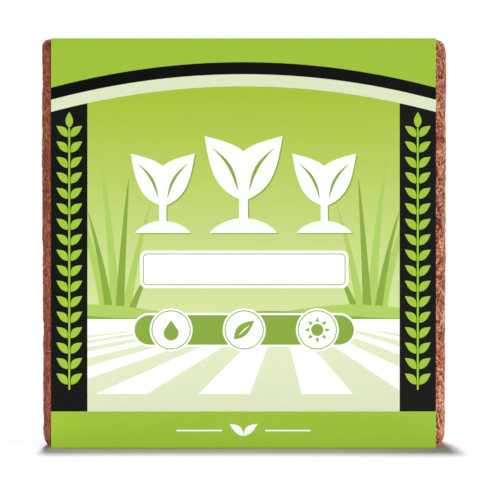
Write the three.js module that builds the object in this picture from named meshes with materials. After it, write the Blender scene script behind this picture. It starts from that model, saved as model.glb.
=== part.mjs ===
// A coconut coir bale: one pressed block of coir pith and fibre in a printed card sleeve.
//
// Millimetres, +Z up. The bale stands on one narrow face. The origin is at the middle of
// the foot of its box, +X is to the reader's right and the printed front faces -Y.
//
// coir_block   the pressed coir, bare at both ends, with press layers, pits and worn edges
// card_sleeve  one strip of card round the front, top, back and foot, lapped on the back

import * as THREE from 'three';
import { mergeVertices } from 'three/addons/utils/BufferGeometryUtils.js';

// Whole bale
const BALE_HEIGHT = 305;
const BALE_DEPTH = 120;

// Coir block: the sides lean in a little towards the foot, as the press left them
const BLOCK_WIDTH_TOP = 301.4;
const BLOCK_WIDTH_FOOT = 299.2;

// Its edges: crisp where the card folds over them, rounder at the bare ends, where they run
// back by the first radius along the bale's width and by the second along its depth
const FOLD_RADIUS = 2.5;
const END_EDGE_RADIUS = 5.5;
const END_EDGE_DEPTH_RADIUS = 6;

// Card sleeve
const SLEEVE_WIDTH = 286;
const SLEEVE_SHIFT = -0.35;
const CARD_THICKNESS = 0.4;
const CLEARANCE = 0.3;
const LAP_LENGTH = 22;
const LAP_RAMP = 6;
const LAP_HEIGHT = 150;

// Worn corners, as seen from the front: how far each is rounded off inwards and up the block
const CORNER_RUN = { leftTop: 5.4, rightTop: 8.4, leftFoot: 6.8, rightFoot: 6.3 };
const CORNER_RISE = { leftTop: 6.6, rightTop: 10, leftFoot: 13, rightFoot: 12.5 };
const CORNER_BLEND = 14;

// Press layers run up each bare end. Each starts with a short ledge and slopes back out.
const LAYER_PITCH = 14;
const LEDGE_DEPTH = 1.5;
const LEDGE_DEPTH_LEAST_SHARE = 0.45;
const LEDGE_DROP_SHARE = 0.08;
const LEDGE_SLOPE_SHARE = 0.75;
const LAYER_DRIFT = 3.2;
const LAYER_DRIFT_LENGTH = 195;
const LAYER_RIPPLE = 1.9;
const LAYER_RIPPLE_LENGTH = 82;

// Broad swellings of each bare end, how deep and how far from one to the next
const SWELL_DEPTH = 0.9;
const SWELL_ACROSS = 72;
const SWELL_UP = 290;

// Crumbled pits in each bare end and chips along its edges
const PITS_PER_END = 15;
const PIT_DEPTH = 2.6;
const PIT_HALF_ACROSS = { least: 5, most: 11 };
const PIT_HALF_UP = { least: 8, most: 20 };
const CHIPS_PER_EDGE = 6;
const CHIP_REACH = { least: 6, most: 12 };
const CHIP_DEPTH = { front: 0.35, back: 2.8, end: 2.2 };
const LEAST_SHARE_OF_DEPTH = 0.33;
const EDGE_MARGIN_SHARE = 0.07;
const END_SEEDS = { left: 4197, right: 7329 };
const FADE_UNDER_CARD = 5;

// The mould's wall left each end smoother along its front edge: how much of the depth is left
// there, and how far in it is all back
const SMOOTH_EDGE_SHARE = 0.1;
const SMOOTH_EDGE_REACH = 22;

// Facets
const ARC_STEPS = 3;
const DEPTH_CELLS = 19;
const HEIGHT_CELLS = 46;
const SLEEVE_CORNER_STEPS = 7;

const coirMaterial = new THREE.MeshStandardMaterial({ color: 0x935b47, roughness: 0.96, metalness: 0 });
const cardMaterial = new THREE.MeshStandardMaterial({ color: 0x9fc53c, roughness: 0.5, metalness: 0 });

// The lap stands proud of the back, so the rest of the sleeve is thinner than the box by this
const lapRise = CARD_THICKNESS + CLEARANCE;
const sleeveDepth = BALE_DEPTH - lapRise;
const sleeveMiddle = -lapRise / 2;
const shell = CARD_THICKNESS + CLEARANCE;

const block = {
  halfDepth: sleeveDepth / 2 - shell,
  halfHeight: BALE_HEIGHT / 2 - shell,
};

const lerp = THREE.MathUtils.lerp;
const smooth = THREE.MathUtils.smoothstep;

// A repeatable stream of numbers from 0 to 1
function makeRandom(seed) {
  let state = seed;
  return () => {
    state = (state * 16807) % 2147483647;
    return state / 2147483647;
  };
}

function blockHalfWidth(z) {
  const t = z / (2 * block.halfHeight) + 0.5;
  return lerp(BLOCK_WIDTH_FOOT, BLOCK_WIDTH_TOP, t) / 2;
}

// Grid lines across one side: close together round both edges, then at the given places
// inwards from each edge, and even between those
function gridLines(half, edge, inner, cells) {
  const near = [];
  for (let i = 0; i < ARC_STEPS; i++) near.push(half - edge * Math.tan((i / ARC_STEPS) * Math.PI / 4));
  near.push(half - edge, ...inner.map((place) => half - place));
  const last = near.at(-1);
  const middle = Array.from({ length: cells - 1 }, (_, i) => lerp(-last, last, (i + 1) / cells));
  return [...near.map((line) => -line), ...middle, ...near.reverse()];
}

// The block's corners are worn by different amounts, and the wear dies away along its edges.
// Gives how far the surface is rounded off across the width, the depth and the height.
function edgeRadii(x, z) {
  const corner = (x < 0 ? 'left' : 'right') + (z < 0 ? 'Foot' : 'Top');
  const inwards = smooth(blockHalfWidth(z) - Math.abs(x), 0, CORNER_BLEND);
  const upwards = smooth(block.halfHeight - Math.abs(z), 0, CORNER_BLEND);
  return [
    lerp(CORNER_RUN[corner], END_EDGE_RADIUS, upwards),
    lerp(END_EDGE_DEPTH_RADIUS, FOLD_RADIUS, inwards),
    lerp(CORNER_RISE[corner], FOLD_RADIUS, inwards),
  ];
}

// A point on the square-edged box moves to the box with rounded edges and corners
function roundPoint(p) {
  const radii = edgeRadii(p.x, p.z);
  const halves = [blockHalfWidth(p.z), block.halfDepth, block.halfHeight];
  const past = p.toArray().map((value, i) => Math.max(Math.abs(value) - (halves[i] - radii[i]), 0) / radii[i]);
  const length = Math.hypot(...past);
  if (length <= 1) return p;
  const rounded = p.toArray().map((value, i) => {
    if (past[i] === 0) return value;
    return Math.sign(value) * (halves[i] - radii[i] + radii[i] * past[i] / length);
  });
  return new THREE.Vector3(...rounded);
}

function between(range, random) {
  return lerp(range.least, range.most, random());
}

// A place along an end's width or height, from -1 to 1, clear of its edges
function placeAlong(share) {
  return lerp(EDGE_MARGIN_SHARE - 1, 1 - EDGE_MARGIN_SHARE, share);
}

// Pits in one bare end: crumbled hollows, longer up the block than across it
function endPits(random) {
  return Array.from({ length: PITS_PER_END }, () => ({
    y: placeAlong(random()) * block.halfDepth,
    z: placeAlong(random()) * block.halfHeight,
    across: between(PIT_HALF_ACROSS, random),
    along: between(PIT_HALF_UP, random),
    depth: lerp(LEAST_SHARE_OF_DEPTH, 1, random()) * PIT_DEPTH,
  }));
}

// Chips along the edges of one bare end: two upright edges, then the top and foot ones
function endChips(random) {
  const chips = [];
  const addChip = (y, z, mostDepth) => {
    const depth = lerp(LEAST_SHARE_OF_DEPTH, 1, random()) * mostDepth;
    chips.push({ y, z, reach: between(CHIP_REACH, random), depth });
  };
  for (let i = 0; i < CHIPS_PER_EDGE; i++) {
    const along = () => placeAlong((i + random()) / CHIPS_PER_EDGE);
    addChip(-block.halfDepth, along() * block.halfHeight, CHIP_DEPTH.front);
    addChip(block.halfDepth, along() * block.halfHeight, CHIP_DEPTH.back);
    addChip(along() * block.halfDepth, block.halfHeight * (i % 2 ? 1 : -1), CHIP_DEPTH.end);
  }
  return chips;
}

// Soft falloff from 1 at the middle of a hollow to 0 at its rim
function hollow(distance) {
  return distance >= 1 ? 0 : (1 - distance * distance) ** 2;
}

// A wave of the given length, moved along by the end's own phase
function waveAt(place, length, phase) {
  return Math.sin(2 * Math.PI * place / length + phase);
}

// How far one bare end is sunk below its outer plane at a point of that end
function endDepth(end, y, z) {
  const drift = LAYER_DRIFT * waveAt(z, LAYER_DRIFT_LENGTH, end.phase);
  const ripple = LAYER_RIPPLE * waveAt(z, LAYER_RIPPLE_LENGTH, 2 * end.phase);
  const layer = (y + drift + ripple) / LAYER_PITCH + end.phase;
  const within = layer - Math.floor(layer);
  const strength = lerp(LEDGE_DEPTH_LEAST_SHARE, 1, Math.sin(Math.floor(layer) + end.phase) ** 2);
  const slope = 1 - smooth(within, LEDGE_DROP_SHARE, LEDGE_SLOPE_SHARE);
  const ledge = LEDGE_DEPTH * strength * smooth(within, 0, LEDGE_DROP_SHARE) * slope;
  const swell = SWELL_DEPTH * (1 - waveAt(y, SWELL_ACROSS, end.phase) * waveAt(z, SWELL_UP, 0)) / 2;
  let depth = ledge + swell;
  for (const pit of end.pits) {
    depth += pit.depth * hollow(Math.hypot((y - pit.y) / pit.across, (z - pit.z) / pit.along));
  }
  return depth * lerp(SMOOTH_EDGE_SHARE, 1, smooth(block.halfDepth + y, 0, SMOOTH_EDGE_REACH));
}

// Pulls a point of the rounded block in, straight across the ends and slantwise at the chips
function wearPoint(p, ends) {
  const end = p.x < 0 ? ends.left : ends.right;
  const bare = blockHalfWidth(p.z) - Math.abs(p.x);
  const fade = 1 - smooth(bare, END_EDGE_RADIUS, END_EDGE_RADIUS + FADE_UNDER_CARD);
  if (fade === 0) return p;
  const face = 1 - smooth(bare, 0, END_EDGE_RADIUS);
  const worn = p.clone();
  worn.x -= Math.sign(p.x) * face * endDepth(end, p.y, p.z);
  for (const chip of end.chips) {
    const distance = Math.hypot(p.y - chip.y, p.z - chip.z, bare);
    const pull = chip.depth * hollow(distance / chip.reach) * fade;
    const towards = new THREE.Vector3(Math.sign(p.x), Math.sign(p.y), 0).normalize();
    if (Math.abs(chip.z) === block.halfHeight) towards.set(Math.sign(p.x), 0, Math.sign(p.z)).normalize();
    worn.addScaledVector(towards, -pull);
  }
  return worn;
}

// Coir block: a box whose even grid is spread onto the grid lines, rounded and then worn
function makeCoirBlock() {
  const ends = {};
  for (const [side, seed] of Object.entries(END_SEEDS)) {
    const random = makeRandom(seed);
    ends[side] = { phase: 2 * Math.PI * random(), pits: endPits(random), chips: endChips(random) };
  }
  const xs = gridLines(BLOCK_WIDTH_TOP / 2, END_EDGE_RADIUS, [END_EDGE_RADIUS + FADE_UNDER_CARD], 2);
  const ys = gridLines(block.halfDepth, END_EDGE_DEPTH_RADIUS, [], DEPTH_CELLS);
  const zs = gridLines(block.halfHeight, END_EDGE_DEPTH_RADIUS, [], HEIGHT_CELLS);
  const counts = [xs.length - 1, ys.length - 1, zs.length - 1];
  let geometry = new THREE.BoxGeometry(...counts, ...counts);
  geometry.deleteAttribute('normal');
  geometry.deleteAttribute('uv');
  geometry = mergeVertices(geometry, 0.01);
  const position = geometry.getAttribute('position');
  for (let i = 0; i < position.count; i++) {
    const y = ys[Math.round(position.getY(i) + counts[1] / 2)];
    const z = zs[Math.round(position.getZ(i) + counts[2] / 2)];
    const x = xs[Math.round(position.getX(i) + counts[0] / 2)] * blockHalfWidth(z) / (BLOCK_WIDTH_TOP / 2);
    const p = wearPoint(roundPoint(new THREE.Vector3(x, y, z)), ends);
    position.setXYZ(i, p.x, p.y, p.z);
  }
  const mesh = new THREE.Mesh(geometry, coirMaterial);
  mesh.name = 'coir_block';
  mesh.position.set(0, sleeveMiddle, BALE_HEIGHT / 2);
  return mesh;
}

// Points of the sleeve's route, seen from the left end: (depth, height) from the inner end,
// down the back, under the foot, up the front, over the top and down to the lapped end.
// inset is how far the line lies inside the sleeve's outer face.
function sleeveRoute(inset) {
  const halfDepth = sleeveDepth / 2 - inset;
  const halfHeight = BALE_HEIGHT / 2 - inset;
  const radius = FOLD_RADIUS + shell - inset;
  const lapFoot = LAP_HEIGHT - BALE_HEIGHT / 2;
  const lapTop = lapFoot + LAP_LENGTH;
  const points = [new THREE.Vector2(halfDepth, lapTop)];
  const corners = [[1, -1, 0], [-1, -1, -90], [-1, 1, -180], [1, 1, -270]];
  for (const [sideways, upright, startAngle] of corners) {
    for (let i = 0; i <= SLEEVE_CORNER_STEPS; i++) {
      const angle = THREE.MathUtils.degToRad(startAngle - 90 * i / SLEEVE_CORNER_STEPS);
      points.push(new THREE.Vector2(
        sideways * (halfDepth - radius) + radius * Math.cos(angle),
        upright * (halfHeight - radius) + radius * Math.sin(angle),
      ));
    }
  }
  points.push(new THREE.Vector2(halfDepth, lapTop + CLEARANCE + LAP_RAMP));
  points.push(new THREE.Vector2(halfDepth + lapRise, lapTop + CLEARANCE));
  points.push(new THREE.Vector2(halfDepth + lapRise, lapFoot));
  return points;
}

// Card sleeve: the strip's thin outline drawn along its width
function makeCardSleeve() {
  const outline = [...sleeveRoute(0), ...sleeveRoute(CARD_THICKNESS).reverse()];
  const geometry = new THREE.ExtrudeGeometry(new THREE.Shape(outline), {
    depth: SLEEVE_WIDTH,
    steps: 1,
    bevelEnabled: false,
  });
  geometry.rotateX(Math.PI / 2);
  geometry.rotateZ(Math.PI / 2);
  geometry.translate(SLEEVE_SHIFT - SLEEVE_WIDTH / 2, sleeveMiddle, BALE_HEIGHT / 2);
  const mesh = new THREE.Mesh(geometry, cardMaterial);
  mesh.name = 'card_sleeve';
  return mesh;
}

const bale = new THREE.Group();
bale.add(makeCoirBlock(), makeCardSleeve());

export default bale;
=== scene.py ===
import math
from functools import partial
from itertools import product

import bpy
import numpy as np
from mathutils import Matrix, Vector, noise
from mathutils.bvhtree import BVHTree
from mathutils.geometry import delaunay_2d_cdt


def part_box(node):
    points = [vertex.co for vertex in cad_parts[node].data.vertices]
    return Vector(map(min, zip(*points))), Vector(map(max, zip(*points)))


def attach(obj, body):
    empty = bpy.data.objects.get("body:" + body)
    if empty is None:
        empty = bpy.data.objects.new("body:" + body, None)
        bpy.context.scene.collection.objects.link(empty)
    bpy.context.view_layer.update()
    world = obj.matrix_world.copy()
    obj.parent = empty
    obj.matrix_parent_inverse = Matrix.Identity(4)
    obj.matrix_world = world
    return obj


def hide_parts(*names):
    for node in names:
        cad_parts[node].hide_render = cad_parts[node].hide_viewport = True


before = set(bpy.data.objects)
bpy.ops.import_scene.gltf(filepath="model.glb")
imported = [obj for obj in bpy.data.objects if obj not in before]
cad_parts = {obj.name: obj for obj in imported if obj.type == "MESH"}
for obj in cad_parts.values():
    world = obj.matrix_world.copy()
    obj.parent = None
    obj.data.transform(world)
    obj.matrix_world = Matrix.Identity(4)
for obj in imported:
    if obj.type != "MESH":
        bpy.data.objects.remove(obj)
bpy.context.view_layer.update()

# A coconut coir bale: a pressed block of coir in a printed card sleeve, standing on the floor.
# Lengths are written in millimetres and turned to metres by mm.
mm = 0.001
sleeveLow, sleeveHigh = np.array(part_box("card_sleeve"))
blockLow, blockHigh = np.array(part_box("coir_block"))


# Small helpers

def toLinear(hexColour):
    channels = [int(hexColour[i:i + 2], 16) / 255 for i in (1, 3, 5)]
    return [c / 12.92 if c <= 0.04045 else ((c + 0.055) / 1.055) ** 2.4 for c in channels] + [1]


def smooth(value, low, high):
    # Rises softly from 0 at low to 1 at high
    t = np.clip((value - low) / (high - low), 0, 1)
    return t * t * (3 - 2 * t)


def fill(node, inputs):
    # Links the inputs that are given sockets, and sets the others
    for key, value in inputs.items():
        if isinstance(value, bpy.types.NodeSocket):
            node.id_data.links.new(value, node.inputs[key])
        else:
            node.inputs[key].default_value = value


def addNode(tree, kind, *values, **settings):
    # Adds a node with its settings and its inputs, in their order or by name or number, and hands
    # back its outputs. A Mix node takes numbers at 2 and 3, and colours at 6 and 7.
    node = tree.nodes.new(kind)
    for name, value in settings.items():
        setattr(node, name, value)
    fill(node, values[0] if values and isinstance(values[0], dict) else dict(enumerate(values)))
    return node.outputs


def setRamp(colour, stops):
    # Sets the stops of the ramp that the colour comes out of, its two ends first
    ramp = colour.node.color_ramp
    for i, (place, hexColour) in enumerate(stops):
        stop = ramp.elements[i] if i < 2 else ramp.elements.new(place)
        stop.position = place
        stop.color = toLinear(hexColour)


def newMaterial(name):
    # A material, the function that adds nodes to it, and its shader
    material = bpy.data.materials.new(name)
    material.use_nodes = True
    tree = material.node_tree
    return material, partial(addNode, tree), tree.nodes["Principled BSDF"]


def newObject(name, data):
    item = bpy.data.objects.new(name, data)
    bpy.context.scene.collection.objects.link(item)
    return item


def madePlain(piece):
    # Keeps the piece as its modifiers leave it, without them
    mesh = bpy.data.meshes.new_from_object(piece.evaluated_get(bpy.context.evaluated_depsgraph_get()))
    piece.modifiers.clear()
    piece.data = mesh
    mesh.name = piece.name
    return mesh


def storeValues(mesh, name, values):
    mesh.attributes.new(name, "FLOAT", "POINT").data.foreach_set("value", values)


# Camera, straight on to the printed front

photo = {
    "pixels": 500,
    "pixelSize": 0.7432 * mm,  # real size of a pixel at the printed front
    "footPixel": (244, 448.3),  # where the middle of the bale's foot stands
    "distance": 2.4,  # metres from the camera to the printed front
}


def makeCamera():
    pixel = photo["pixelSize"]
    middle = photo["pixels"] / 2
    across, down = photo["footPixel"]
    data = bpy.data.cameras.new("camera")
    data.lens = data.sensor_width * photo["distance"] / (photo["pixels"] * pixel)
    camera = newObject("camera", data)
    camera.location = ((middle - across) * pixel, sleeveLow[1] - photo["distance"], (down - middle) * pixel)
    camera.rotation_euler = (math.pi / 2, 0, 0)
    bpy.context.scene.camera = camera


# Studio: a small white floor that ends out of sight in a white surround, three soft suns, and a
# long narrow lamp overhead, which shades the floor softly in front of the bale but not beside it

studio = {
    "floorHalf": 0.68,  # metres
    "floorColour": "#E5E3E8",
    "surround": 0.12,  # strength of the light that the surround throws on the bale
    "suns": {  # direction the light comes from, strength, width of its source in degrees
        "key_right": ((1, -0.3, 0.11), 1.15, 10),
        "front": ((0.45, -1, 0.1), 1.99, 9),
        "behind_left": ((-1, 0.6, 0.22), 1.1, 40),
    },
    "overhead": {
        "direction": (-0.015, 0.26, 1),
        "distance": 20,  # metres
        "strength": 3.6,  # on the floor, in the units of a sun's
        "across": 0.8,  # metres
        "deep": 4.6,
    },
}


def makeFloor():
    # Matt emulsion paint: even and very pale, with almost no gloss
    half = studio["floorHalf"]
    corners = [(-half, -half, 0), (half, -half, 0), (half, half, 0), (-half, half, 0)]
    mesh = bpy.data.meshes.new("floor")
    mesh.from_pydata(corners, [], [(0, 1, 2, 3)])
    floor = newObject("floor", mesh)
    material, _, shader = newMaterial("matt white floor paint")
    paint = toLinear(studio["floorColour"])
    fill(shader, {"Base Color": paint, "Roughness": 0.9, "Specular IOR Level": 0.1})
    mesh.materials.append(material)


def makeSurround():
    # The camera sees full white round the floor, but the bale is lit by only a little of it
    world = bpy.data.worlds.new("white surround")
    bpy.context.scene.world = world
    world.use_nodes = True
    tree = world.node_tree
    tree.nodes.clear()
    add = partial(addNode, tree)
    seen = add("ShaderNodeLightPath")["Is Camera Ray"]
    light, plain = [add("ShaderNodeBackground", (1, 1, 1, 1), strength)[0]
                    for strength in (studio["surround"], 1)]
    mixed = add("ShaderNodeMixShader", seen, light, plain)[0]
    add("ShaderNodeOutputWorld", {"Surface": mixed})


def hangLamp(data, direction):
    lamp = newObject(data.name, data)
    lamp.rotation_mode = "QUATERNION"
    lamp.rotation_quaternion = Vector(direction).to_track_quat("Z", "Y")
    return lamp


def makeLamps():
    for name, (direction, strength, width) in studio["suns"].items():
        data = bpy.data.lights.new(name, "SUN")
        data.energy = strength
        data.angle = math.radians(width)
        hangLamp(data, direction)
    given = studio["overhead"]
    data = bpy.data.lights.new("overhead", "AREA")
    data.shape = "RECTANGLE"
    data.size = given["across"]
    data.size_y = given["deep"]
    data.energy = given["strength"] * math.pi * given["distance"] ** 2
    lamp = hangLamp(data, given["direction"])
    lamp.location = Vector(given["direction"]).normalized() * given["distance"]
    lamp.visible_camera = False


bpy.context.scene.view_settings.view_transform = "Standard"
makeCamera()
makeFloor()
makeSurround()
makeLamps()
print("stage: camera and studio")


# Coir block: the pressed block's own fine surface, close-meshed only where it is bare

coir = {
    "cell": 1.02 * mm,  # mesh size on the bare ends
    "edgeRadius": 6 * mm,
    "arcSteps": 5,
    "bareMargin": 12 * mm,  # close mesh runs this far in from each end
    "solidReach": 4 * mm,  # how far out the solid's surface is looked for
    "fade": 3 * mm,  # roughness dies away this far under the card
    "underCard": 0.2 * mm,  # how far it may swell under the card
    "besideCard": (1.3 * mm, 1.5 * mm),  # how much further beside the card, and how far from it
    "relax": 5,  # rounds of smoothing over the solid's facets
    "lumps": [  # size and depth of each kind of unevenness, coarse ones first
        ((16 * mm, 7 * mm, 30 * mm), 0.9 * mm),
        ((6 * mm, 4 * mm, 9 * mm), 1.2 * mm),
        ((2.6 * mm, 2.2 * mm, 3.6 * mm), 1.1 * mm),
    ],
    "standing": 0.45,  # the mould pressed what stands out back to this share of its height
    "calmEdge": (0.22, 18 * mm),  # the press left the edges smoother: how much, and how far in
    "faceDepth": 9 * mm,  # an end face's lowest pit is no deeper than this
    "darkAt": {"lumps": 2.2 * mm, "pits": 7 * mm},  # depth over which the painted shade goes from palest to darkest
    "grains": (1.7 * mm, 0.3),  # size of the pattern's grains, and how far they are drawn out
    "patches": 22 * mm,  # size of its paler and darker patches
    "splits": (13 * mm, 0.13),  # size of the waves that its splits follow, drawn out further
    "bump": 0.7 * mm,
}

ends = {  # each end's side, and its range of tones: the left one is darker and more even, painted shade for the end turned from the light, and the right one paler, painted light
    "left": {"Side": -1.0, "Darkest": 0.22, "Palest": 0.54},
    "right": {"Side": 1.0, "Darkest": 0.08, "Palest": 0.9},
}


def gridLines(low, high, margin):
    # Close together round both edges, even to the margin, then one wide step between
    edge, steps = coir["edgeRadius"], coir["arcSteps"]
    turn = [edge * math.tan(i / steps * math.pi / 4) for i in range(steps)]
    count = max(1, round((margin - edge) / coir["cell"]))
    turn += [edge + (margin - edge) * i / count for i in range(count + 1)]
    return [low + t for t in turn] + [high - t for t in reversed(turn)]


def boxSurface(lines):
    # The six sides of a box on its grid lines, sharing the points along their edges
    ids = {}
    quads = []
    for axis in range(3):
        last, wide, high = [len(lines[(axis + i) % 3]) - 1 for i in range(3)]
        for end, m, n in product((0, last), range(wide), range(high)):
            quad = [(end, m, n), (end, m + 1, n), (end, m + 1, n + 1), (end, m, n + 1)]
            if end == 0:
                quad.reverse()
            keys = [corner[-axis:] + corner[:-axis] for corner in quad]  # in the order x, y, z
            quads.append([ids.setdefault(key, len(ids)) for key in keys])
    return np.array([[lines[a][key[a]] for a in range(3)] for key in ids]), quads


def roundedBox(points):
    # Rounds the box's edges and corners, and gives each point's outward direction
    radius = coir["edgeRadius"]
    centre = (blockLow + blockHigh) / 2
    half = (blockHigh - blockLow) / 2
    local = points - centre
    past = np.maximum(np.abs(local) - (half - radius), 0) / radius
    outward = np.sign(local) * past / np.linalg.norm(past, axis=1, keepdims=True)
    held = np.clip(local, -(half - radius), half - radius)
    return centre + held + radius * outward, outward


def laidOnSolid(points, outward):
    # Moves each point straight in or out onto the block's solid
    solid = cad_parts["coir_block"].data
    solid.calc_loop_triangles()
    tree = BVHTree.FromPolygons([v.co for v in solid.vertices], [t.vertices for t in solid.loop_triangles])
    reach = coir["solidReach"]
    laid = points.copy()
    for i, (point, direction) in enumerate(zip(points, outward)):
        hit = tree.ray_cast(Vector(point + direction * reach), -Vector(direction), 4 * reach)[0]
        if hit is not None:
            laid[i] = hit
    return laid


def blockGrid():
    # Points and quads over the whole block, fine on its ends and wide under the card
    half = (blockHigh - blockLow - coir["cell"]) / 2
    margins = (coir["bareMargin"], half[1], half[2])
    square, quads = boxSurface([gridLines(*side) for side in zip(blockLow, blockHigh, margins)])
    return laidOnSolid(*roundedBox(square)), quads


def relaxed(points, edges, weight):
    # Moves each point towards the middle of its neighbours, some rounds over
    count = len(points)
    both = np.concatenate([edges, edges[:, ::-1]])
    share = np.bincount(both[:, 0], minlength=count)[:, None]
    for _ in range(coir["relax"]):
        total = np.stack([np.bincount(both[:, 0], points[both[:, 1], a], count) for a in range(3)], axis=1)
        points = points + (total / share - points) * 0.5 * weight[:, None]
    return points


def fieldOf(points, size):
    # Smooth noise about zero, mostly within a half, with lumps of about the given size
    scaled = points / np.asarray(size)
    return np.array([noise.noise(Vector(p)) for p in scaled])


def fromEdges(points):
    # How far each point lies in from the nearest long edge of its end
    return np.minimum(points - blockLow, blockHigh - points)[:, 1:].min(axis=1)


def belowPlane(points):
    # How far each point of an end face lies below that face's mean plane
    below = np.zeros(len(points))
    inwards = fromEdges(points)
    for side in (-1, 1):
        outwards = side * points[:, 0]
        face = np.flatnonzero((outwards > blockHigh[0] - coir["faceDepth"]) & (inwards > coir["edgeRadius"]))
        spread = np.c_[points[face, 1:], np.ones(len(face))]
        plane = spread @ np.linalg.lstsq(spread, outwards[face], rcond=None)[0]
        below[face] = plane - outwards[face]
    return below * smooth(inwards, coir["edgeRadius"], 2 * coir["edgeRadius"])


def coirRelief(points, bare, outside):
    # How far the fine surface stands out from the solid's, and how deep in a hollow it lies,
    # from 0 on a lump to 1 in a pit. The hollow value sets painted shade: low places, pits and the surface
    # beside the card are painted darker
    where = np.flatnonzero(bare > 0)
    near = points[where]
    relief = sum(fieldOf(near, size) * depth for size, depth in coir["lumps"])
    relief = np.where(relief > 0, coir["standing"] * relief, relief)
    calm, reach = coir["calmEdge"]
    relief *= calm + (1 - calm) * smooth(fromEdges(near), 0, reach)
    height = np.zeros(len(points))
    height[where] = relief * bare[where]
    further, away = coir["besideCard"]
    height = np.minimum(height, coir["underCard"] + further * smooth(outside, 0, away))
    hollow = 0.5 - height / coir["darkAt"]["lumps"] + belowPlane(points) / coir["darkAt"]["pits"]
    return height, np.clip(hollow, 0, 1)


def setDustyMatt(shader):
    # Dead matt, with the pale bloom that fine loose fibre gives where the surface turns away
    fill(shader, {"Roughness": 0.95, "Specular IOR Level": 0.15, "Sheen Weight": 0.7,
                  "Sheen Roughness": 0.3, "Sheen Tint": toLinear("#EAD6CC")})


def pithColour(add, place, grain, patch):
    # Its end's range of tones, by grain and patch, with the left end darker as painted shade, and darker in
    # the hollows as painted shade
    mixed = add("ShaderNodeMix", {0: 0.22, 2: grain, 3: patch})[0]
    across = add("ShaderNodeSeparateXYZ", place)["X"]
    end = add("ShaderNodeMapRange", across, blockLow[0], blockHigh[0])[0]
    low, high = [add("ShaderNodeMapRange", {0: end, 3: ends["left"][name], 4: ends["right"][name]})[0]
                 for name in ("Darkest", "Palest")]
    tone = add("ShaderNodeMapRange", mixed, 0.3, 0.7, low, high)[0]
    colour = add("ShaderNodeValToRGB", tone)[0]
    setRamp(colour, [(0, "#55220F"), (1, "#E1AE97"), (0.3, "#8A4532"), (0.62, "#B96C50")])
    # Painted shade: towards a dark brown where the hollow value is high, in pits, low places and beside the
    # card
    hollow = add("ShaderNodeAttribute", attribute_name="hollow")["Fac"]
    shade = add("ShaderNodeMapRange", hollow, 0.5, 0.85, 0, 0.8)[0]
    return add("ShaderNodeMix", {0: shade, 6: colour, 7: toLinear("#34150C")}, data_type="RGBA")[2]


def pithSplits(add, place, patch):
    # Splits run where a noise drawn far out up the block passes through its middle value
    size, drawn = coir["splits"]
    layered = add("ShaderNodeMapping", {"Vector": place, "Scale": (1, 1, drawn)})[0]
    level = add("ShaderNodeTexNoise", {
        "Vector": layered, "Scale": 1 / size, "Detail": 4, "Roughness": 0.62})["Fac"]
    off = add("ShaderNodeMath", level, 0.5, operation="SUBTRACT")[0]
    away = add("ShaderNodeMath", off, operation="ABSOLUTE")[0]
    split = add("ShaderNodeMapRange", away, 0, 0.016, 1, 0)[0]
    torn = add("ShaderNodeMapRange", patch, 0.42, 0.6)[0]
    return add("ShaderNodeMath", split, torn, operation="MULTIPLY")[0]


def pressedCoirPith():
    # Coconut pith and short fibre pressed dry in a mould: dead matt and grainy, its grains drawn
    # out up the block, with painted shade in the hollows, and dark in the fine splits between press
    # layers. Real grains are finer, and are drawn as coarse as the render can show.
    material, add, shader = newMaterial("dry pressed coir pith")
    size, drawn = coir["grains"]
    place = add("ShaderNodeTexCoord")["Object"]
    upright = add("ShaderNodeMapping", {"Vector": place, "Scale": (1, 1, drawn)})[0]
    streak = add("ShaderNodeTexNoise", {
        "Vector": upright, "Scale": 1 / size, "Detail": 3, "Roughness": 0.65})["Fac"]
    cells = add("ShaderNodeTexVoronoi", {"Vector": place, "Scale": 1 / size})
    speck = add("ShaderNodeSeparateColor", cells["Color"])[0]
    grain = add("ShaderNodeMix", {0: 0.5, 2: streak, 3: speck})[0]
    patch = add("ShaderNodeTexNoise", {
        "Vector": place, "Scale": 1 / coir["patches"], "Detail": 4, "Roughness": 0.6})["Fac"]
    colour = pithColour(add, place, grain, patch)
    split = pithSplits(add, place, patch)
    final = add("ShaderNodeMix", {0: split, 6: colour, 7: toLinear("#2E130B")}, data_type="RGBA")[2]
    rough = add("ShaderNodeMix", {0: 0.5, 2: streak, 3: cells["Distance"]})[0]
    height = add("ShaderNodeMath", rough, split, operation="SUBTRACT")[0]
    bump = add("ShaderNodeBump", {"Strength": 1, "Distance": coir["bump"], "Height": height})[0]
    fill(shader, {"Base Color": final, "Normal": bump})
    setDustyMatt(shader)
    return material


def movePoints(mesh, points):
    mesh.vertices.foreach_set("co", points.ravel())
    mesh.update()


def makeCoirBlock():
    points, quads = blockGrid()
    outside = np.maximum(points[:, 0] - sleeveHigh[0], sleeveLow[0] - points[:, 0])
    bare = smooth(outside, -coir["fade"], 0)
    mesh = bpy.data.meshes.new("coir_block_pressed")
    mesh.from_pydata(points.tolist(), [], quads)
    points = relaxed(points, np.array([edge.vertices[:] for edge in mesh.edges]), bare)
    movePoints(mesh, points)
    normals = np.array([vertex.normal[:] for vertex in mesh.vertices])
    height, hollow = coirRelief(points, bare, outside)
    movePoints(mesh, points + normals * height[:, None])
    mesh.shade_smooth()
    # hollow sets the painted shade of the pith, fibres and crumbs in their low places
    storeValues(mesh, "hollow", hollow)
    storeValues(mesh, "bare", bare)
    mesh.materials.append(pressedCoirPith())
    return newObject("coir_block_pressed", mesh)


coirBlock = makeCoirBlock()
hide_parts("coir_block")
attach(coirBlock, "root")
print("stage: coir block", len(coirBlock.data.polygons), "quads")


# What grows on the block's two bare ends: loose fibres and crumbs, by Geometry Nodes

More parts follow.
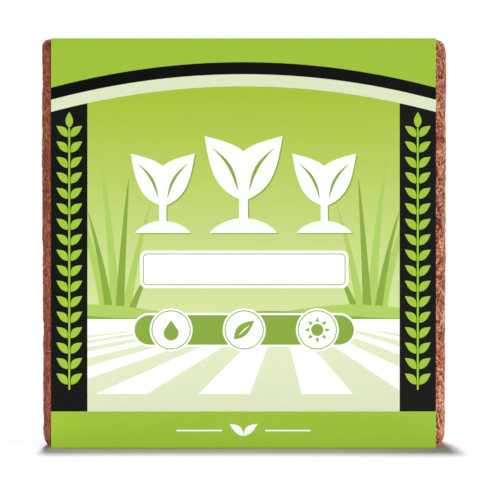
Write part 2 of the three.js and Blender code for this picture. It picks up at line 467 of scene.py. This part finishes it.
def newGrowth(name, sizes):
    # A tree with a named input for each size, the function that adds nodes to it, and what its
    # inputs and the attributes that it reads give
    tree = bpy.data.node_groups.new(name, "GeometryNodeTree")
    tree.interface.new_socket("Surface", in_out="INPUT", socket_type="NodeSocketGeometry")
    for label, value in sizes.items():
        kind = "NodeSocketInt" if isinstance(value, int) else "NodeSocketFloat"
        tree.interface.new_socket(label, in_out="INPUT", socket_type=kind).default_value = value
    tree.interface.new_socket("Grown", in_out="OUTPUT", socket_type="NodeSocketGeometry")
    add = partial(addNode, tree)
    given = dict(add("NodeGroupInput").items())
    for attribute in ("bare", "hollow", "tone", "girth", "spring"):
        given[attribute] = add("GeometryNodeInputNamedAttribute", {"Name": attribute})["Attribute"]
    return tree, add, given


def pointsOnEnd(add, given, least):
    # Points strewn where the end that the Side input names is at least so bare
    place = add("GeometryNodeInputPosition")[0]
    across = add("ShaderNodeSeparateXYZ", place)["X"]
    sided = add("ShaderNodeMath", across, given["Side"], operation="MULTIPLY")[0]
    onSide = add("ShaderNodeMath", sided, 0, operation="GREATER_THAN")[0]
    both = add("ShaderNodeMath", onSide, given["bare"], operation="MULTIPLY")[0]
    chosen = add("ShaderNodeMath", both, least, operation="GREATER_THAN")[0]
    return add("GeometryNodeDistributePointsOnFaces", {
        "Mesh": given["Surface"], "Selection": chosen,
        "Density": given["Per square metre"], "Seed": given["Seed"]})


def randomFrom(add, given, low, high, order):
    # A random number for each point, different for each order
    seed = add("ShaderNodeMath", given["Seed"], order, operation="ADD")[0]
    return add("FunctionNodeRandomValue", {2: low, 3: high, 8: seed}, data_type="FLOAT")[1]


def randomSize(add, given, least, most, power, order):
    # A random size from least to most, with more small ones the higher the power
    chance = randomFrom(add, given, 0, 1, order)
    small = add("ShaderNodeMath", chance, power, operation="POWER")[0]
    return add("ShaderNodeMapRange", {0: small, 3: given[least], 4: given[most]})[0]


def randomVector(add, given, low, high):
    return add("FunctionNodeRandomValue", {0: low, 1: high, 8: given["Seed"]}, data_type="FLOAT_VECTOR")[0]


def randomTone(add, given, order):
    # A random tone from the end's range and a little past it, with painted shade making it darker where the
    # surface is sunk
    palest = add("ShaderNodeMath", given["Palest"], given["Paler"], operation="ADD")[0]
    chance = randomFrom(add, given, given["Darkest"], palest, order)
    dusk = add("ShaderNodeMapRange", given["hollow"], 0.5, 0.9, 1, 0.45)[0]
    return add("ShaderNodeMath", chance, dusk, operation="MULTIPLY")[0]


def finishTree(add, shapes, material):
    smoothed = add("GeometryNodeSetShadeSmooth", shapes)[0]
    real = add("GeometryNodeRealizeInstances", smoothed)[0]
    done = add("GeometryNodeSetMaterial", {"Geometry": real, "Material": material})[0]
    add("NodeGroupOutput", done)


def tonedMaterial(name, stops):
    # A material whose colour goes by the tone of each fibre or crumb
    material, add, shader = newMaterial(name)
    tone = add("ShaderNodeAttribute", attribute_name="tone")["Fac"]
    colour = add("ShaderNodeValToRGB", tone)[0]
    setRamp(colour, stops)
    fill(shader, {"Base Color": colour})
    return material, shader


def grown(name, tree, sizes):
    # Grows the tree's shapes on the coir block, and keeps them as a plain mesh
    piece = newObject(name, coirBlock.data.copy())
    growth = piece.modifiers.new("growth", "NODES")
    growth.node_group = tree
    for socket in tree.interface.items_tree:
        if socket.in_out == "INPUT" and socket.name in sizes:
            growth[socket.identifier] = sizes[socket.name]
    mesh = madePlain(piece)
    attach(piece, "root")
    mesh.calc_loop_triangles()
    print("stage:", name, len(mesh.loop_triangles), "triangles")


# Fibres: dry coconut hairs pressed into the ends, mostly running up the block

fibres = {
    **ends["right"],
    "Per square metre": 52000.0,
    "Shortest": 5 * mm,
    "Longest": 26 * mm,
    "Thinnest": 0.28 * mm,
    "Thickest": 0.56 * mm,
    "Paler": 0.25,  # how much further up the range of tones the palest ones reach
    "Wander": 5 * mm,  # how far a fibre strays from straight
    "Bends per metre": 1 / (14 * mm),
    "Spring": 0.7 * mm,  # how far a free tip may stand up
    "Under card": -0.8 * mm,  # height of a fibre's middle line where it reaches the card
    "Seed": 11,
}


def coirFibre():
    # Stiff dry husk fibre: warm straw to rust brown, one tone along its length, a faint sheen
    stops = [(0, "#6B3320"), (1, "#EFCCB5"), (0.45, "#B2694E"), (0.75, "#D89579")]
    material, shader = tonedMaterial("dry coconut husk fibre", stops)
    fill(shader, {"Roughness": 0.6, "Specular IOR Level": 0.3})
    return material


def strewnLines(add, given):
    # Each fibre starts as a straight line laid flat on the surface, and mostly up the block
    points = pointsOnEnd(add, given, 0.7)
    line = add("GeometryNodeCurvePrimitiveLine", (-0.5, 0, 0), (0.5, 0, 0))[0]
    stepped = add("GeometryNodeResampleCurve", {"Curve": line, "Count": 8})[0]
    chance = randomVector(add, given, (-1, -1, -0.6), (1, 1, 0.6))
    flat = add("ShaderNodeVectorMath", points["Normal"], chance, operation="CROSS_PRODUCT")[0]
    turn = add("FunctionNodeAlignRotationToVector", {"Vector": flat}, axis="X")[0]
    length = randomSize(add, given, "Shortest", "Longest", 1.6, 1)
    laid = add("GeometryNodeInstanceOnPoints", {
        "Points": points["Points"], "Instance": stepped, "Rotation": turn, "Scale": length})[0]
    for label, value in (
            ("tone", randomTone(add, given, 2)),
            ("girth", randomFrom(add, given, given["Thinnest"], given["Thickest"], 3)),
            ("spring", randomFrom(add, given, 0, given["Spring"], 4))):
        laid = add("GeometryNodeStoreNamedAttribute", {
            "Geometry": laid, "Name": label, "Value": value}, domain="INSTANCE")[0]
    return add("GeometryNodeRealizeInstances", laid)[0]


def swayedLines(add, given, lines):
    # Each line wanders its own way through a noise, for which its tone is the seed
    place = add("GeometryNodeInputPosition")[0]
    own = add("ShaderNodeMath", given["tone"], 90, operation="MULTIPLY")[0]
    sway = add("ShaderNodeTexNoise", {
        "Vector": place, "W": own, "Scale": given["Bends per metre"], "Detail": 1},
        noise_dimensions="4D")["Color"]
    about = add("ShaderNodeVectorMath", sway, (0.5, 0.5, 0.5), operation="SUBTRACT")[0]
    stray = add("ShaderNodeVectorMath", {0: about, "Scale": given["Wander"]}, operation="SCALE")[0]
    return add("GeometryNodeSetPosition", {"Geometry": lines, "Offset": stray})[0]


def settledLines(add, given, lines, lift):
    # Each line sinks back onto the surface, and dives under it before it reaches the card
    surface = given["Surface"]
    near = add("GeometryNodeProximity", surface, target_element="FACES")["Position"]
    normal = add("GeometryNodeInputNormal")[0]
    up, clear = [add("GeometryNodeSampleNearestSurface", surface, value, data_type=kind)[0]
                 for value, kind in ((normal, "FLOAT_VECTOR"), (given["bare"], "FLOAT"))]
    safe = add("ShaderNodeMapRange", clear, 0.75, 1, given["Under card"], lift)[0]
    place = add("ShaderNodeVectorMath", up, safe, near, operation="MULTIPLY_ADD")[0]
    return add("GeometryNodeSetPosition", {"Geometry": lines, "Position": place})[0]


def fibreTree():
    tree, add, given = newGrowth("coir fibres", fibres)
    lines = swayedLines(add, given, strewnLines(add, given))
    # A fibre's middle line lies a quarter of its girth above the surface, and its tips spring up
    along = add("GeometryNodeSplineParameter")["Factor"]
    centred = add("ShaderNodeMath", along, 2, -1, operation="MULTIPLY_ADD")[0]
    outer = add("ShaderNodeMath", centred, operation="ABSOLUTE")[0]
    tip = add("ShaderNodeMath", outer, 4, operation="POWER")[0]
    seat = add("ShaderNodeMath", given["girth"], 0.25, operation="MULTIPLY")[0]
    lift = add("ShaderNodeMath", tip, given["spring"], seat, operation="MULTIPLY_ADD")[0]
    lines = settledLines(add, given, lines, lift)
    # Three-sided tubes, thinner at the tips
    ring = add("GeometryNodeCurvePrimitiveCircle", {"Resolution": 3, "Radius": 0.5})[0]
    taper = add("ShaderNodeMath", tip, -0.6, 1, operation="MULTIPLY_ADD")[0]
    width = add("ShaderNodeMath", taper, given["girth"], operation="MULTIPLY")[0]
    tubes = add("GeometryNodeCurveToMesh", {
        "Curve": lines, "Profile Curve": ring, "Scale": width, "Fill Caps": True})[0]
    finishTree(add, tubes, coirFibre())
    return tree


# Crumbs: grains of pith that stand half out of the ends

crumbs = {
    **ends["right"],
    "Per square metre": 240000.0,
    "Smallest": 0.33 * mm,  # half widths
    "Largest": 0.88 * mm,
    "Raised": -0.45,  # share of its half width that a grain is moved out: it is pressed in
    "Paler": 0.08,
    "Seed": 23,
}


def coirCrumb():
    # Loose grain of the same pith: matt, from dark wet-looking brown to dusty pink-brown
    stops = [(0, "#451B0D"), (1, "#DBA990"), (0.35, "#834431"), (0.7, "#B96E53")]
    material, shader = tonedMaterial("loose coir pith grain", stops)
    setDustyMatt(shader)
    return material


def crumbTree():
    tree, add, given = newGrowth("coir crumbs", crumbs)
    points = pointsOnEnd(add, given, 0.99)
    grain = add("GeometryNodeMeshIcoSphere", {"Radius": 1, "Subdivisions": 1})[0]
    size = randomSize(add, given, "Smallest", "Largest", 1.8, 1)
    height = add("ShaderNodeMath", size, given["Raised"], operation="MULTIPLY")[0]
    out = add("ShaderNodeVectorMath", {0: points["Normal"], "Scale": height}, operation="SCALE")[0]
    pressed = add("GeometryNodeSetPosition", {"Geometry": points["Points"], "Offset": out})[0]
    # Each grain has its own length, width and height
    shape = randomVector(add, given, (0.7, 0.6, 0.5), (1.5, 1.1, 0.9))
    scale = add("ShaderNodeVectorMath", {0: shape, "Scale": size}, operation="SCALE")[0]
    turn = randomVector(add, given, (0, 0, 0), (math.tau, math.tau, math.tau))
    laid = add("GeometryNodeInstanceOnPoints", {
        "Points": pressed, "Instance": grain, "Rotation": turn, "Scale": scale})[0]
    toned = add("GeometryNodeStoreNamedAttribute", {
        "Geometry": laid, "Name": "tone", "Value": randomTone(add, given, 2)}, domain="INSTANCE")[0]
    finishTree(add, toned, coirCrumb())
    return tree


coirFibres = fibreTree()
coirCrumbs = crumbTree()
# Each end's fibres and crumbs take its range of tones, so the left end's are darker as painted shade
for end in ends:
    grown("coir_fibres_" + end, coirFibres, {**fibres, **ends[end]})
    grown("coir_crumbs_" + end, coirCrumbs, {**crumbs, **ends[end]})


# Card sleeve: one printed strip, drawn flat in u across it and s along it, then wrapped round

card = {
    "thickness": 0.4 * mm,
    "clearance": 0.3 * mm,  # to the block, and between the layers of the lap
    "lapFoot": 150 * mm,  # height on the back where the strip ends
    "lapLength": 22 * mm,
    "lapRamp": 6 * mm,  # the lap climbs over the strip's other end in this length
    "cornerRadius": 1.1 * mm,
    "cornerSteps": 5,
    "foldHolds": (3 * mm, 40 * mm),  # held down this far from a fold, and free from this far
    "footHolds": (3 * mm, 30 * mm),  # the same above the floor
    # The rest of its sizes, and the artwork's, are plain millimetres
    "cell": 7,
    "edgeColumns": (0.8, 2.4),  # closer columns of the mesh beside each cut edge
    "bow": (0.3, 70, 55),  # swelling of the flat faces: its height, and its size both ways
    "edgeLift": (0.55, 34, 16),  # how far the cut edges lift, length of a lift, and how far in
    "rubbed": {"fold": 0.4, "cut": 0.5},  # wear of the print
    "foldTurn": (0.02, 0.12),  # turn of the strip in each millimetre that counts as a fold
    "inks": {
        "lime": "#9CC039", "black": "#020301", "bar": "#0E0E0B", "pale": "#DAE3BF",
        "white": "#FBFBF8", "green": "#84A53D", "lightGreen": "#A9C85F", "bareCard": "#EFEDE4",
    },
    "panelFade": [(27.4, "#DDE8C1"), (150, "#C2D382"), (262, "#A4C03A")],  # height, colour
}
stripWidth = (sleeveHigh[0] - sleeveLow[0]) / mm


def stepsBetween(a, b, cell):
    # Even steps from a to just before b, each a cell long at most
    count = max(1, math.ceil(math.dist(a, b) / cell))
    return [(a[0] + (b[0] - a[0]) * i / count, a[1] + (b[1] - a[1]) * i / count) for i in range(count)]


def sleeveRoute():
    # The outer line of the sleeve's section in (y, z): down the back, under the foot, up the
    # front, over the top and down to the end of the lap. Each point has its distance along it.
    rise = card["thickness"] + card["clearance"]
    radius, steps = card["cornerRadius"], card["cornerSteps"]
    front, back = sleeveLow[1], sleeveHigh[1] - rise
    foot, top = sleeveLow[2], sleeveHigh[2]
    lapTop = card["lapFoot"] + card["lapLength"]
    bends = [(back, lapTop)]
    folds = [(back, foot, -1, 1), (front, foot, 1, 1), (front, top, 1, -1), (back, top, -1, -1)]
    for i, (y, z, inY, inZ) in enumerate(folds):
        for j in range(steps + 1):
            angle = -math.pi / 2 * (i + j / steps)
            bends.append((y + radius * (inY + math.cos(angle)), z + radius * (inZ + math.sin(angle))))
    flapTop = lapTop + card["clearance"]
    bends += [(back, flapTop + card["lapRamp"]), (back + rise, flapTop), (back + rise, card["lapFoot"])]
    line = [point for a, b in zip(bends, bends[1:]) for point in stepsBetween(a, b, card["cell"] * mm)]
    line = np.array(line + [bends[-1]])
    along = np.concatenate([[0], np.cumsum(np.linalg.norm(np.diff(line, axis=0), axis=1))]) / mm
    return line, along


routeLine, routeAlong = sleeveRoute()


def faceStart(y, z):
    # How far along the strip the face starts whose first flat point is at a place on the section
    nearest = np.argmin(np.hypot(routeLine[:, 0] - y, routeLine[:, 1] - z))
    return routeAlong[nearest] - card["cornerRadius"] / mm


# Outlines for the artwork, in millimetres

def bentLine(foot, tip, steps):
    # Even steps from foot to tip, as shares and as points, and the direction to their left
    foot, tip = np.array(foot, float), np.array(tip, float)
    along = tip - foot
    t = np.linspace(0, 1, steps + 1)[:, None]
    return t, foot + along * t, np.array([-along[1], along[0]]) / np.linalg.norm(along)


def leafOutline(foot, tip, width, bend=0, steps=8):
    t, line, side = bentLine(foot, tip, steps)
    middle = line + side * bend * np.sin(math.pi * t)
    half = side * width / 2 * np.sin(math.pi * t ** 0.85)
    return np.concatenate([middle + half, (middle - half)[-2:0:-1]]).tolist()


def bladeOutline(foot, tip, width, bend, steps=14):
    t, line, side = bentLine(foot, tip, steps)
    middle = line + side * bend * t * t
    half = side * width / 2 * (1 - t) ** 0.7
    return np.concatenate([middle + half, (middle - half)[-2::-1]]).tolist()


def arcPoints(middle, radius, start, turn, steps):
    # Points round a middle, from start through turn, both in degrees
    angles = [math.radians(start + turn * i / steps) for i in range(steps + 1)]
    return [(middle[0] + radius * math.cos(a), middle[1] + radius * math.sin(a)) for a in angles]


def discOutline(middle, radius, steps=36):
    return arcPoints(middle, radius, 0, 360, steps)[:-1]


def barOutline(left, right, foot, top, radius=0, steps=6):
    if radius == 0:
        return [(left, foot), (right, foot), (right, top), (left, top)]
    left, right, foot, top = left + radius, right - radius, foot + radius, top - radius
    corners = [((right, foot), -90), ((right, top), 0), ((left, top), 90), ((left, foot), 180)]
    return [point for middle, start in corners for point in arcPoints(middle, radius, start, 90, steps)]


def moundOutline(half, rise, steps=20):
    turns = np.linspace(0, math.pi, steps + 1)
    return [(-half * math.cos(a), rise * abs(math.sin(a)) ** 1.6) for a in turns]


def dropOutline(middle, radius):
    # A round drop with its point up
    return [(middle[0], middle[1] + 1.75 * radius)] + arcPoints(middle, radius, 28, -236, 20)


def clippedTo(points, left, right, foot, top):
    # Cuts an outline to a rectangle, one side of it at a time
    for axis, limit, sign in ((0, left, 1), (0, right, -1), (1, foot, 1), (1, top, -1)):
        kept = []
        for a, b in zip(points, points[1:] + points[:1]):
            insideA, insideB = (sign * (a[axis] - limit) >= 0), (sign * (b[axis] - limit) >= 0)
            if insideA:
                kept.append(a)
            if insideA != insideB:
                t = (limit - a[axis]) / (b[axis] - a[axis])
                kept.append((a[0] + t * (b[0] - a[0]), a[1] + t * (b[1] - a[1])))
        points = kept
    return points


# Artwork: each layer is (ink, outline), painted in order. A motif is drawn about its own zero,
# and then placed. Heights are above the floor, and widths from the strip's left edge.

art = {
    "foot": 27.4,  # height of the lime foot band
    "barWidth": 27,
    "arch": {"edge": 268, "rise": 19, "stripe": 9},  # height at its sides, rise, and width
    "vine": {"foot": 43.4, "top": 238, "stem": 1.4, "pairs": 17, "firstPair": 47.4, "pitch": 11.5},
    "horizon": 96,
    "hills": [("lightGreen", 11, 0.6), ("green", 6, 2.6)],  # ink, rise and shift
    "hillLength": 31,
    "furrows": {"count": 11, "from": (0.62, 6), "reach": (-1.9, 2.5), "stop": 9},
    "headland": 13,  # depth of the pale strip in front of the furrows
    "tuft": (20, -2),  # where the middle of its foot is, from the bar and from the horizon
    "grass": [  # each blade's foot and tip across, height, width, bend and ink
        (-5.4, -22.5, 112, 7.5, 15, "lightGreen"),
        (1.2, -4.3, 128, 8, 7, "lightGreen"),
        (7.8, 20.2, 92, 7, -8, "lightGreen"),
        (-3, -12.2, 84, 6.5, 8, "green"),
        (3.6, 8.25, 108, 7, -2.5, "green"),
        (10.2, 23.3, 46, 6, -7, "green"),
    ],
    "sprouts": [(-60, 0.82), (60, 0.82), (0, 1)],  # place from the middle, and scale
    "sproutFoot": 160,
    "dropShade": 0.9,  # how far the green shade behind the white motifs is shifted
    "plaque": (66, 221, 119, 147),  # left, right, foot and top
    "badges": (62, 225, 72, 104),
    "footOrnament": (13.2, 1),  # its middle's height, and its scale
    "topOrnament": (60.68, 2.4),  # its middle's distance from the front
    "back": {
        "lapBars": (150, 276), "footBars": (27.4, 170), "badgePlaque": (182, 266),
        "badges": (204, 244), "plaque": (46, 128), "plaqueInset": 14, "badgeInset": 34,
    },
}


def placed(layers, u, s, scale=1, up=1):
    # Moves a motif to its place on the strip, with up -1 where the strip runs downwards
    return [(ink, [(u + scale * a, s + up * scale * b) for a, b in outline]) for ink, outline in layers]


def leafPair(ink, foot, tip, width, bend, steps=8):
    # Two leaves that mirror each other about a stem at zero
    return [(ink, leafOutline((side * foot[0], foot[1]), (side * tip[0], tip[1]), width, side * bend, steps))
            for side in (-1, 1)]


def archBand(above, below, steps=40):
    # A band of the arch, from one depth under its upper line to another
    arch = art["arch"]
    us = [stripWidth * i / steps for i in range(steps + 1)]
    line = [(u, arch["edge"] + arch["rise"] * (1 - (2 * u / stripWidth - 1) ** 2)) for u in us]
    return [(u, z - above) for u, z in reversed(line)] + [(u, z - below) for u, z in line]


def vineBar(left, right):
    # Dark bar with a climbing vine of paired leaves
    vine = art["vine"]
    middle, half = (left + right) / 2, vine["stem"] / 2
    layers = [("bar", barOutline(left, right, art["foot"], art["arch"]["edge"])),
              ("lime", barOutline(middle - half, middle + half, vine["foot"], vine["top"], half))]
    pair = leafPair("lime", foot=(1.2, 0), tip=(9.6, 8.2), width=5.6, bend=0.9)
    for i in range(vine["pairs"]):
        layers += placed(pair, middle, vine["firstPair"] + i * vine["pitch"])
    topLeaf = [("lime", leafOutline(foot=(0, 0), tip=(0, 12), width=5.6))]
    return layers + placed(topLeaf, middle, vine["top"])


def sprout():
    # A seedling with two seed leaves on a small mound, white with green midribs
    layers = [("white", moundOutline(half=25, rise=11)),
              ("white", barOutline(left=-3.2, right=3.2, foot=4, top=36, radius=3))]
    layers += leafPair("white", foot=(-1, 24), tip=(29, 72), width=29, bend=5, steps=16)
    return layers + leafPair("green", foot=(4, 31), tip=(24, 64), width=2.6, bend=4, steps=20)


def shaded(layers):
    # White shapes over a thin green shade of themselves, down and to the right
    shift = art["dropShade"]
    return [("green", outline) for ink, outline in placed(layers, shift, -shift) if ink == "white"] + layers


def ornament():
    # Two thin lines with a pair of leaves between them
    lines = [("white", barOutline(left, left + 34, -0.6, 0.6, 0.6)) for left in (-50, 16)]
    return lines + leafPair("white", foot=(0, -4), tip=(10.5, 5), width=5.4, bend=0.8, steps=12)


def grassTuft(side):
    # Tall blades of grass in two greens, mirrored where side is -1
    return [(ink, bladeOutline((side * foot, 0), (side * tip, height), width, side * bend))
            for foot, tip, height, width, bend, ink in art["grass"]]


def field(left, right):
    # Low hills whose feet are hidden by a white field, with pale furrows that run down it
    horizon, foot = art["horizon"], art["foot"]
    layers = []
    for ink, rise, shift in art["hills"]:
        us = np.linspace(left, right, 25)
        crest = [(u, horizon + rise * (0.55 + 0.45 * math.sin(u / art["hillLength"] + shift))) for u in us]
        layers.append((ink, crest + [(right, horizon - 4), (left, horizon - 4)]))
    layers.append(("white", barOutline(left, right, foot, horizon)))
    rows = art["furrows"]
    source = (left + (right - left) * rows["from"][0], horizon + rows["from"][1])
    sides = left + (right - left) * np.linspace(*rows["reach"], 2 * rows["count"] + 1)
    for a, b in zip(sides[::2], sides[1::2]):
        wedge = clippedTo([source, (a, foot), (b, foot)], left, right, foot, horizon - rows["stop"])
        if len(wedge) > 2:
            layers.append(("pale", wedge))
    layers.append(("pale", barOutline(left, right, foot, foot + art["headland"])))
    return layers


def pictogram(kind):
    # A plain drop, leaf or sun for a badge whose half width is 1
    if kind == "drop":
        return [("green", dropOutline((0, -0.17), 0.4))]
    if kind == "leaf":
        return [("green", leafOutline((-0.55, -0.5), (0.55, 0.5), 0.62, 0.05)),
                ("white", leafOutline((-0.32, -0.3), (0.32, 0.28), 0.07))]
    layers = [("green", discOutline((0, 0), 0.33, 24))]
    for turn in range(0, 360, 45):
        ray = arcPoints((0, 0), 0.4535, turn - 14, 28, 1) + arcPoints((0, 0), 0.7, turn, 0, 1)[:1]
        layers.append(("green", ray))
    return layers


def badgeRow(left, right, foot, top, kinds):
    # A green bar with a white rim that holds round white badges
    middle, radius = (foot + top) / 2, (top - foot) / 2
    layers = []
    for ink, wider, inset in (("white", 1.6, 3.4), ("green", 0, 5)):
        edges = (left - wider, right + wider, foot + inset, top - inset)
        layers.append((ink, barOutline(*edges, radius - inset - 0.1)))
    for i, kind in enumerate(kinds):
        u = left + (right - left) * (2 * i + 1) / (2 * len(kinds))
        for ink, narrower in (("white", 0), ("green", 1.4), ("white", 2.2)):
            layers.append((ink, discOutline((u, middle), radius - narrower)))
        layers += placed(pictogram(kind), u, middle, radius - 2.2)
    return layers


def plaque(left, right, foot, top):
    # Blank and white, with a thin green line inside its edge
    return [(ink, barOutline(left + inset, right - inset, foot + inset, top - inset, radius))
            for ink, inset, radius in (("white", 0, 5), ("green", 2.2, 3.4), ("white", 2.9, 2.8))]


def frontArt():
    foot, arch = art["foot"], art["arch"]
    left, right = art["barWidth"], stripWidth - art["barWidth"]
    middle = stripWidth / 2
    layers = [("panel", barOutline(left, right, foot, arch["edge"] + arch["rise"]))]
    inset, rise = art["tuft"]
    for side, edge in ((1, left), (-1, right)):
        layers += placed(grassTuft(side), edge + side * inset, art["horizon"] + rise)
    layers += field(left, right) + vineBar(0, left) + vineBar(right, stripWidth)
    layers.append(("lime", archBand(-2 * arch["rise"], 0)))
    layers.append(("black", archBand(0, arch["stripe"])))
    layers.append(("pale", archBand(arch["stripe"], 2 * arch["stripe"])))
    for shift, scale in art["sprouts"]:
        layers += shaded(placed(sprout(), middle + shift, art["sproutFoot"], scale))
    layers += plaque(*art["plaque"])
    layers += badgeRow(*art["badges"], ("drop", "leaf", "sun"))
    layers += placed(ornament(), middle, *art["footOrnament"])
    return placed(layers, 0, faceStart(sleeveLow[1], card["cornerRadius"]))


def topArt():
    # Seen from the front, its up is towards the back
    start = faceStart(sleeveLow[1] + card["cornerRadius"], sleeveHigh[2])
    return placed(placed(ornament(), stripWidth / 2, *art["topOrnament"]), 0, start)


def backArt():
    # The flap comes down to the lap, and the strip's other end goes down from it to the foot
    given = art["back"]
    left, right = art["barWidth"], stripWidth - art["barWidth"]
    wide = (left + given["plaqueInset"], right - given["plaqueInset"])
    narrow = (left + given["badgeInset"], right - given["badgeInset"])
    flap, foot = [[("bar", barOutline(*across, *heights)) for across in ((0, left), (right, stripWidth))]
                  for heights in (given["lapBars"], given["footBars"])]
    flap += [("pale", barOutline(*wide, *given["badgePlaque"], 6))]
    flap += badgeRow(*narrow, *given["badges"], ("leaf", "drop", "sun"))
    foot += plaque(*wide, *given["plaque"])
    lapTop = (card["lapFoot"] + card["lapLength"]) / mm
    return placed(flap, 0, routeAlong[-1] + card["lapFoot"] / mm, up=-1) + placed(foot, 0, lapTop, up=-1)


def denser(outline):
    # Runs the outline anticlockwise, with more points on its long sides, to follow the card
    area = sum(a[0] * b[1] - b[0] * a[1] for a, b in zip(outline, outline[1:] + outline[:1]))
    outline = outline if area > 0 else outline[::-1]
    sides = zip(outline, outline[1:] + outline[:1])
    return [point for a, b in sides for point in stepsBetween(a, b, card["cell"])]


def printedSheet():
    # Cuts the flat strip into triangles along every outline, and names each one's ink
    close = card["edgeColumns"]
    even = np.arange(card["cell"], stripWidth - card["cell"] / 2, card["cell"])
    columns = [*close, *even, *[stripWidth - u for u in reversed(close)]]
    edge = [(0, s) for s in routeAlong] + [(stripWidth, s) for s in routeAlong[::-1]]
    layers = [("lime", edge[::-1])]
    layers += [(ink, denser(outline)) for ink, outline in frontArt() + topArt() + backArt()]
    points = [(u, s) for u in columns for s in routeAlong]
    faces = []
    for _, outline in layers:
        faces.append(list(range(len(points), len(points) + len(outline))))
        points += outline
    flat, _, triangles, _, _, sources = delaunay_2d_cdt([Vector(p) for p in points], [], faces, 1, 1e-4)
    inks = [layers[max(source)][0] for source in sources]
    return np.array([tuple(p) for p in flat]), [tuple(t) for t in triangles], inks


def wrapped(flat):
    # Lays the strip's points on the route, with the small waves of card round a damp block
    u, s = flat[:, 0], flat[:, 1]
    forwardY, forwardZ = np.gradient(routeLine, routeAlong * mm, axis=0).T
    y, z, outY, outZ = [np.interp(s, routeAlong, values) for values in (*routeLine.T, -forwardZ, forwardY)]
    bow, across, along = card["bow"]
    wave = fieldOf(np.c_[u, s, 0 * u], (across, along, 1))
    edgeLift, liftLength, liftReach = card["edgeLift"]
    whichEdge = np.round(u / stripWidth) * 9  # far apart in the noise, so each edge lifts its own way
    flutter = fieldOf(np.c_[whichEdge, s, 0 * u], (1, liftLength, 1))
    fromCut = np.minimum(u, stripWidth - u)
    lift = edgeLift * np.clip(1.6 * flutter, 0, 1) * (1 - smooth(fromCut, 0, liftReach))
    lift += bow * (0.5 + 0.5 * wave)
    upright = np.minimum(z - sleeveLow[2], sleeveHigh[2] - z)
    level = np.minimum(y - sleeveLow[1], sleeveHigh[1] - y)
    lift *= smooth(np.maximum(upright, level), *card["foldHolds"]) * smooth(z, *card["footHolds"])
    push = lift * mm / np.hypot(outY, outZ)
    return np.c_[sleeveLow[0] + u * mm, y + outY * push, z + outZ * push]


def panelColour(height):
    # The panel's ink at a height, from lime at its top to pale at its foot
    heights = [stop[0] for stop in card["panelFade"]]
    parts = [[int(stop[1][i:i + 2], 16) for stop in card["panelFade"]] for i in (1, 3, 5)]
    return "#" + "".join(f"{round(float(np.interp(height, heights, p))):02X}" for p in parts)


def coatedPrintedCard():
    # Offset-printed card with a satin varnish: flat even ink, a soft broad gloss, a very faint
    # orange peel, and bare white fibre where the folds and the cut edges have rubbed
    material, add, shader = newMaterial("varnished printed card")
    place = add("ShaderNodeTexCoord")["Object"]
    ink = add("ShaderNodeAttribute", attribute_name="ink")["Color"]
    worn = add("ShaderNodeAttribute", attribute_name="rubbed")["Fac"]
    rub, mottle, fine, wave = [add("ShaderNodeTexNoise", {
        "Vector": place, "Scale": 1 / (size * mm), "Detail": detail, "Roughness": rough})["Fac"]
        for size, detail, rough in ((1.6, 5, 0.7), (5, 4, 0.6), (0.9, 3, 0.5), (48, 2, 0.5))]
    reach = add("ShaderNodeMath", worn, 0.8, rub, operation="MULTIPLY_ADD")[0]
    bare = add("ShaderNodeMapRange", reach, 1, 1.5)[0]
    value = add("ShaderNodeMapRange", {0: mottle, 3: 0.985, 4: 1.015})[0]
    even = add("ShaderNodeHueSaturation", {"Value": value, "Color": ink})[0]
    colour = add("ShaderNodeMix", {
        0: bare, 6: even, 7: toLinear(card["inks"]["bareCard"])}, data_type="RGBA")[2]
    peel = add("ShaderNodeBump", {"Strength": 0.25, "Distance": 0.03 * mm, "Height": fine})[0]
    bump = add("ShaderNodeBump", {
        "Strength": 0.5, "Distance": 0.6 * mm, "Height": wave, "Normal": peel})[0]
    gloss = add("ShaderNodeMapRange", {0: mottle, 3: 0.34, 4: 0.44})[0]
    fill(shader, {"Base Color": colour, "Roughness": gloss, "Normal": bump, "Specular IOR Level": 0.08})
    return material


def printInks(mesh, triangles, inks, heights):
    # Gives each triangle its ink, and the panel its fade, at the corners
    colours = []
    for triangle, ink in zip(triangles, inks):
        for corner in triangle:
            colours += toLinear(panelColour(heights[corner]) if ink == "panel" else card["inks"][ink])
    layer = mesh.color_attributes.new("ink", "FLOAT_COLOR", "CORNER")
    layer.data.foreach_set("color", colours)


def printWear(flat):
    # How far the print is rubbed at each point: along the folds and at the cut edges
    turn = np.abs(np.gradient(np.unwrap(np.arctan2(*np.gradient(routeLine, axis=0).T)), routeAlong))
    fold = smooth(np.interp(flat[:, 1], routeAlong, turn), *card["foldTurn"])
    cut = 1 - smooth(np.minimum(flat[:, 0], stripWidth - flat[:, 0]), 0, card["edgeColumns"][0])
    return np.maximum(card["rubbed"]["fold"] * fold, card["rubbed"]["cut"] * cut)


def makeCardSleeve():
    flat, triangles, inks = printedSheet()
    mesh = bpy.data.meshes.new("card_sleeve_printed")
    mesh.from_pydata(wrapped(flat).tolist(), [], triangles)
    printInks(mesh, triangles, inks, np.interp(flat[:, 1], routeAlong, routeLine[:, 1]) / mm)
    storeValues(mesh, "rubbed", printWear(flat))
    mesh.materials.append(coatedPrintedCard())
    sleeve = newObject("card_sleeve_printed", mesh)
    thicken = sleeve.modifiers.new("thickness", "SOLIDIFY")
    thicken.thickness = card["thickness"]
    thicken.offset = -1
    thicken.use_even_offset = True
    done = madePlain(sleeve)
    # The inner side and the cut edges, which come after the printed triangles, are bare card
    bare = toLinear(card["inks"]["bareCard"])
    layer = done.color_attributes["ink"]
    for face in done.polygons[len(triangles):]:
        for corner in face.loop_indices:
            layer.data[corner].color = bare
    done.shade_smooth()
    done.set_sharp_from_angle(angle=math.radians(40))
    return sleeve


cardSleeve = makeCardSleeve()
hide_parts("card_sleeve")
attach(cardSleeve, "root")
print("stage: card sleeve", len(cardSleeve.data.polygons), "faces")
